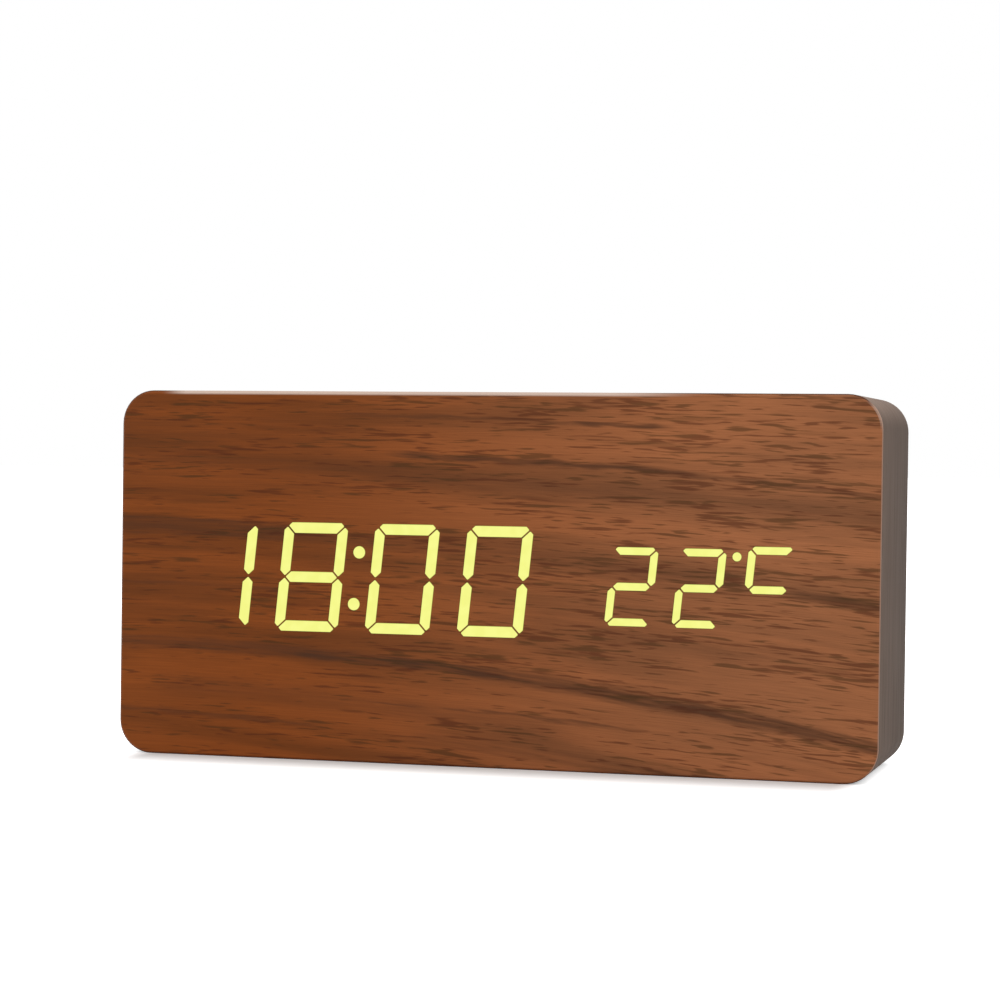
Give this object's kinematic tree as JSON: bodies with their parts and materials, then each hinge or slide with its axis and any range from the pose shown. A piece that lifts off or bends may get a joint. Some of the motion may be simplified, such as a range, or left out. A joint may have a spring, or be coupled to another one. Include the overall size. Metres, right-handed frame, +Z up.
{
  "type": "digital desk clock",
  "caption": "Box-shaped wooden desk clock with rounded sides, lit time and temperature figures behind a thin wooden face, and a back panel with buttons and a battery door.",
  "frame": {"origin": "middle of the underside", "axes": "+X to the right as the face is read, +Y from the face to the back, +Z up"},
  "size_m": [0.15, 0.038, 0.0715],
  "materials": {
    "face_wood": "satin walnut face film with open dark grain",
    "side_wood": "matt grey-brown wood film",
    "board_wood": "raw fibreboard",
    "dark_plastic": "fine moulded texture",
    "display_plastic": "matt moulded block",
    "lit_lens": "light yellow-green, lit from behind",
    "dark_lens": "milky, not lit",
    "chip_white": "small light source",
    "board_green": "green circuit board lacquer",
    "chip_black": "moulded chip body",
    "tinned": "bright tinned metal",
    "screw_steel": "zinc-plated steel",
    "nickel": "nickel-plated strip",
    "button_plastic": "smooth moulded cap",
    "switch_black": "moulded switch body",
    "plunger_plastic": "moulded pale plastic",
    "cell_sleeve": "plain shrink sleeve",
    "spacer_plastic": "moulded nylon",
    "can_metal": "plain can",
    "socket_plastic": "moulded cream plastic",
    "ribbon_grey": "flat cable sleeve",
    "lead_black": "wire sleeve",
    "lead_red": "wire sleeve"
  },
  "bodies": {
    "case": {"case_ring": "board_wood", "side_wrap": "side_wood", "face_film": "face_wood", "front_board": "board_wood", "corner_blocks": "board_wood", "time_display_block": "display_plastic", "time_lit_segments": "lit_lens", "time_unlit_segments": "dark_lens", "colon_dots": "lit_lens", "temperature_display_block": "display_plastic", "temperature_lit_segments": "lit_lens", "temperature_unlit_segments": "dark_lens", "degree_dot": "lit_lens", "light_chips": "chip_white", "display_pins": "tinned", "main_board": "board_green", "board_spacers": "spacer_plastic", "board_screws": "screw_steel", "controller_chip": "chip_black", "controller_legs": "tinned", "driver_chip": "chip_black", "driver_legs": "tinned", "buzzer": "chip_black", "capacitors": "can_metal", "crystal": "can_metal", "resistors": "chip_black", "rear_cover": "dark_plastic", "cover_screws": "screw_steel", "battery_cells": "cell_sleeve", "cell_caps": "nickel", "flat_contacts": "nickel", "spring_contacts": "nickel", "switch_bodies": "switch_black", "rear_board": "board_green", "rear_board_screws": "screw_steel", "power_inlet_shell": "nickel", "power_inlet_tongue": "dark_plastic", "microphone": "can_metal", "temperature_sensor": "chip_black", "temperature_sensor_legs": "tinned", "main_cable_socket": "socket_plastic", "rear_cable_socket": "socket_plastic", "ribbon_cable": "ribbon_grey", "battery_lead_negative": "lead_black", "battery_lead_positive": "lead_red"},
    "set_button_body": {"set_button": "button_plastic", "set_plunger": "plunger_plastic"},
    "up_button_body": {"up_button": "button_plastic", "up_plunger": "plunger_plastic"},
    "down_button_body": {"down_button": "button_plastic", "down_plunger": "plunger_plastic"},
    "battery_door_body": {"battery_door": "dark_plastic"}
  },
  "joints": [
    {"name": "set_button_press", "type": "slide", "parent": "case", "child": "set_button_body", "axis": [0, -1, 0], "range_m": [0, 0.0003], "stiffness_N_per_m": 700, "springref_m": -0.0004},
    {"name": "up_button_press", "type": "slide", "parent": "case", "child": "up_button_body", "axis": [0, -1, 0], "range_m": [0, 0.0003], "stiffness_N_per_m": 700, "springref_m": -0.0004},
    {"name": "down_button_press", "type": "slide", "parent": "case", "child": "down_button_body", "axis": [0, -1, 0], "range_m": [0, 0.0003], "stiffness_N_per_m": 700, "springref_m": -0.0004},
    {"name": "battery_door_lift", "type": "slide", "parent": "case", "child": "battery_door_body", "axis": [0, 1, 0], "range_m": [0, 0.03]}
  ]
}
